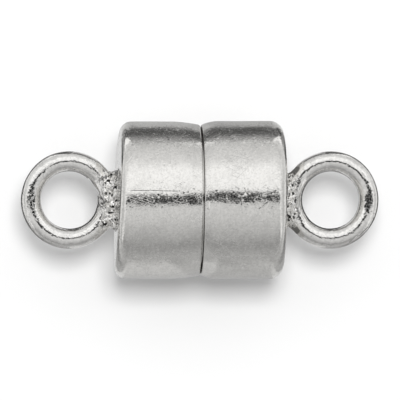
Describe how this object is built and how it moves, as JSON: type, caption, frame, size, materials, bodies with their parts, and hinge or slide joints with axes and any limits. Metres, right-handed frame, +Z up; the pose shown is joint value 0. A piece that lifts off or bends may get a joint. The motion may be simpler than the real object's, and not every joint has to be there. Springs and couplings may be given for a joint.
{
  "type": "magnetic clasp",
  "caption": "Barrel-shaped magnetic jewellery clasp in satin silver: two capped halves meet at a seam, held by magnets, with a closed ring soldered to each end.",
  "frame": {"origin": "on the surface that the clasp lies on, under the middle of the seam", "axes": "+X along the barrel from the left half to the right half, +Y across it in the plane of the rings, +Z up, through the ring holes"},
  "size_m": [0.0124, 0.0054, 0.0055],
  "materials": {
    "silver": "satin-polished silver, with fine scratches and pits on the barrel and brighter wire rings",
    "magnet_plating": "bright nickel plating"
  },
  "bodies": {
    "left_half": {"left_cup": "silver", "left_magnet": "magnet_plating"},
    "right_core": {"right_magnet": "magnet_plating"},
    "right_half": {"right_cup": "silver"}
  },
  "joints": [
    {"name": "pull_apart", "type": "slide", "parent": "left_half", "child": "right_core", "axis": [1, 0, 0], "range_m": [0, 0.01], "stiffness_N_per_m": 20, "springref_m": -0.05},
    {"name": "swivel", "type": "hinge", "parent": "right_core", "child": "right_half", "pos_m": [0, 0, 0.00275], "axis": [1, 0, 0], "continuous": true}
  ]
}
